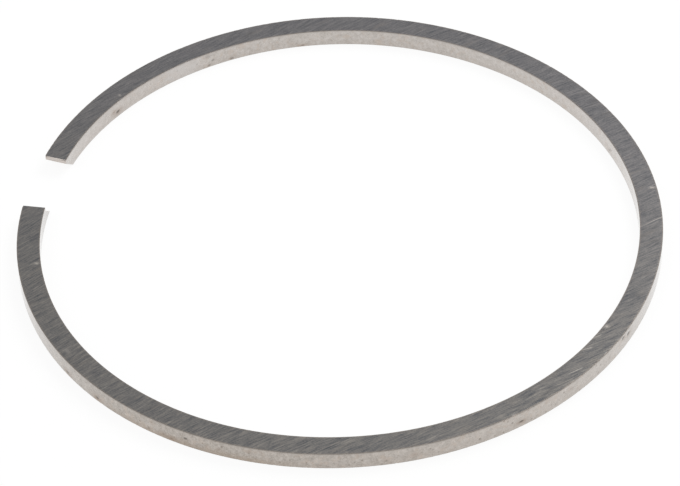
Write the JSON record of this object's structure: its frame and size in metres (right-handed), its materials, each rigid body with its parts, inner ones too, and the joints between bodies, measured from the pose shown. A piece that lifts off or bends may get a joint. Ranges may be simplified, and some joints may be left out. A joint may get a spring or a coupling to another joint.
{
  "type": "piston ring",
  "caption": "Split compression piston ring of rectangular section with a slanted joint, lying in its free state, with ground side faces and pale turned walls.",
  "frame": {"origin": "middle of the free ring's box, on its lower side face", "axes": "+Z along the cylinder's axis, the back of the ring towards +X, the joint towards -X"},
  "size_m": [0.0861, 0.0876, 0.0025],
  "materials": {
    "ring_iron": "dark ground side faces with fine grinding lines, pale matt turned walls"
  },
  "bodies": {
    "root": {"piston_ring": "ring_iron"}
  },
  "joints": []
}
